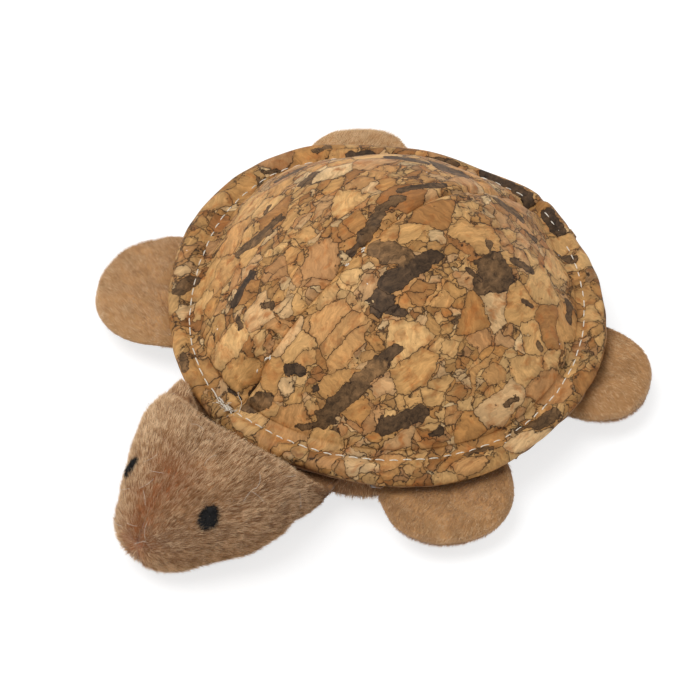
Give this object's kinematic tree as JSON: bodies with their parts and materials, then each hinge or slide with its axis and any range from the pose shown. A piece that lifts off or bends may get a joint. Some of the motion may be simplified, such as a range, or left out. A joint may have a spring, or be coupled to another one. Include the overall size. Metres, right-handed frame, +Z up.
{
  "type": "plush turtle",
  "caption": "Stuffed turtle with a domed cork fabric shell, a stitched flat brim, a plush head that bends at the neck and flat hinged paws.",
  "frame": {"origin": "on the flat underside of the belly, under the middle of the shell", "axes": "+Z up, -Y the way the turtle faces, +X its left side"},
  "size_m": [0.1149, 0.1336, 0.041],
  "materials": {
    "cork": "cork fabric, satin",
    "body_plush": "brown plush, matt",
    "paw_plush": "short tan plush, matt",
    "thread": "off-white sewing thread",
    "eye_thread": "black embroidery thread, matt",
    "stuffing": "white polyester fibre"
  },
  "bodies": {
    "root": {"shell_panel_left": "cork", "shell_panel_right": "cork", "brim_topstitch": "thread", "brim_bobbin_thread": "thread", "centre_seam_thread": "thread", "centre_seam_bobbin_thread": "thread", "belly_panel": "body_plush", "body_stuffing": "stuffing"},
    "neck": {"neck_stuffing": "stuffing"},
    "head": {"head_panel_left": "body_plush", "head_panel_right": "body_plush", "head_stuffing": "stuffing", "eye_left": "eye_thread", "eye_right": "eye_thread"},
    "leg_front_left": {"leg_front_left_upper": "paw_plush", "leg_front_left_lower": "paw_plush", "leg_front_left_wadding": "stuffing"},
    "leg_front_right": {"leg_front_right_upper": "paw_plush", "leg_front_right_lower": "paw_plush", "leg_front_right_wadding": "stuffing"},
    "leg_rear_left": {"leg_rear_left_upper": "paw_plush", "leg_rear_left_lower": "paw_plush", "leg_rear_left_wadding": "stuffing"},
    "leg_rear_right": {"leg_rear_right_upper": "paw_plush", "leg_rear_right_lower": "paw_plush", "leg_rear_right_wadding": "stuffing"}
  },
  "joints": [
    {"name": "head_turn", "type": "hinge", "parent": "root", "child": "neck", "pos_m": [0.00876, -0.04509, 0.0052], "axis": [0, 0, 1], "range_deg": [-7, 7], "stiffness_Nm_per_rad": 0.03},
    {"name": "head_nod", "type": "hinge", "parent": "neck", "child": "head", "pos_m": [0.00876, -0.04509, 0.0052], "axis": [-0.9932, -0.1167, 0], "range_deg": [-12, 4], "stiffness_Nm_per_rad": 0.05},
    {"name": "leg_front_left_lift", "type": "hinge", "parent": "root", "child": "leg_front_left", "pos_m": [0.04151, -0.0209, 0.0082], "axis": [-0.4496, -0.8932, 0], "range_deg": [-25, 8], "stiffness_Nm_per_rad": 0.01},
    {"name": "leg_front_right_lift", "type": "hinge", "parent": "root", "child": "leg_front_right", "pos_m": [-0.03589, -0.02646, 0.0082], "axis": [-0.5934, 0.8049, 0], "range_deg": [-25, 8], "stiffness_Nm_per_rad": 0.01},
    {"name": "leg_rear_left_lift", "type": "hinge", "parent": "root", "child": "leg_rear_left", "pos_m": [0.0387, 0.02279, 0.0082], "axis": [0.5074, -0.8617, 0], "range_deg": [-25, 8], "stiffness_Nm_per_rad": 0.01},
    {"name": "leg_rear_right_lift", "type": "hinge", "parent": "root", "child": "leg_rear_right", "pos_m": [-0.03753, 0.02636, 0.0082], "axis": [0.5748, 0.8183, 0], "range_deg": [-25, 8], "stiffness_Nm_per_rad": 0.01}
  ]
}
